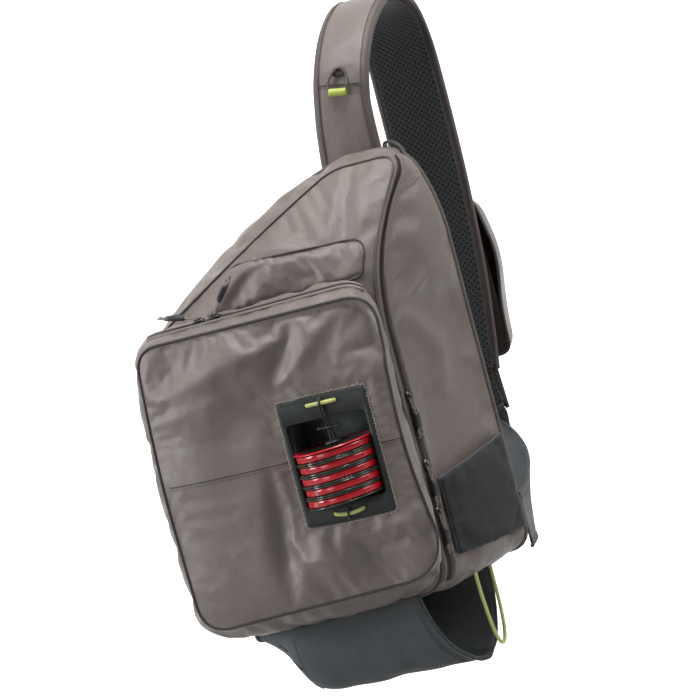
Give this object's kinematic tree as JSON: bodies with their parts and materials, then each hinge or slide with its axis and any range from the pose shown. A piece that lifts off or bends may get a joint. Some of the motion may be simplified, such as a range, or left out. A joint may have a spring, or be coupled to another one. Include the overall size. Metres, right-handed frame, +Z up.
{
  "type": "sling bag",
  "caption": "Padded one-strap sling bag with a gusseted front pocket, a spool dock in its face, a bottle sleeve below and a hanging shoulder strap.",
  "frame": {"origin": "inside top of the shoulder strap's arch, where the bag hangs", "axes": "+Z up along the bag's height, -Y out of the bag's front, +X to the bag's right side as seen from the front"},
  "size_m": [0.287, 0.421, 0.5945],
  "materials": {
    "nylon": "smooth coated taupe-grey nylon",
    "charcoal": "dark charcoal nylon and webbing",
    "mesh": "black spacer mesh",
    "zip": "dark zip tape and coil",
    "hypalon": "matt dark green-grey sheet",
    "plastic": "moulded near-black plastic",
    "metal": "black coated zip sliders",
    "lime": "pale lime cord",
    "spool": "red bands between glossy flanges"
  },
  "bodies": {
    "root": {"left_gusset": "nylon", "side_panel": "nylon", "front_panel": "nylon", "upper_pocket": "nylon", "pocket_gusset": "nylon", "pocket_face": "nylon", "face_piping": "nylon", "strap_cover": "nylon", "strap_pouch": "nylon", "strap_end_flap": "nylon", "fly_patch": "charcoal", "bottle_sleeve": "charcoal", "wing": "charcoal", "adjuster_loop": "charcoal", "haul_loop": "charcoal", "back_panel": "mesh", "strap_pad": "mesh", "gear_loop": "mesh", "main_zip": "zip", "pocket_zip": "zip", "window_frame": "hypalon", "tippet_tray": "hypalon", "tippet_post": "plastic", "side_pull_1": "plastic", "side_pull_2": "plastic", "side_pull_3": "plastic", "pocket_pull_1": "plastic", "pocket_pull_2": "plastic", "side_slider_1": "metal", "side_slider_2": "metal", "side_slider_3": "metal", "pocket_slider_1": "metal", "pocket_slider_2": "metal", "bottle_cord": "lime", "tippet_tab_top": "lime", "tippet_tab_bottom": "lime", "gear_loop_grip": "lime", "spool_1": "spool", "spool_2": "spool", "spool_3": "spool", "spool_4": "spool", "spool_5": "spool"}
  },
  "joints": []
}
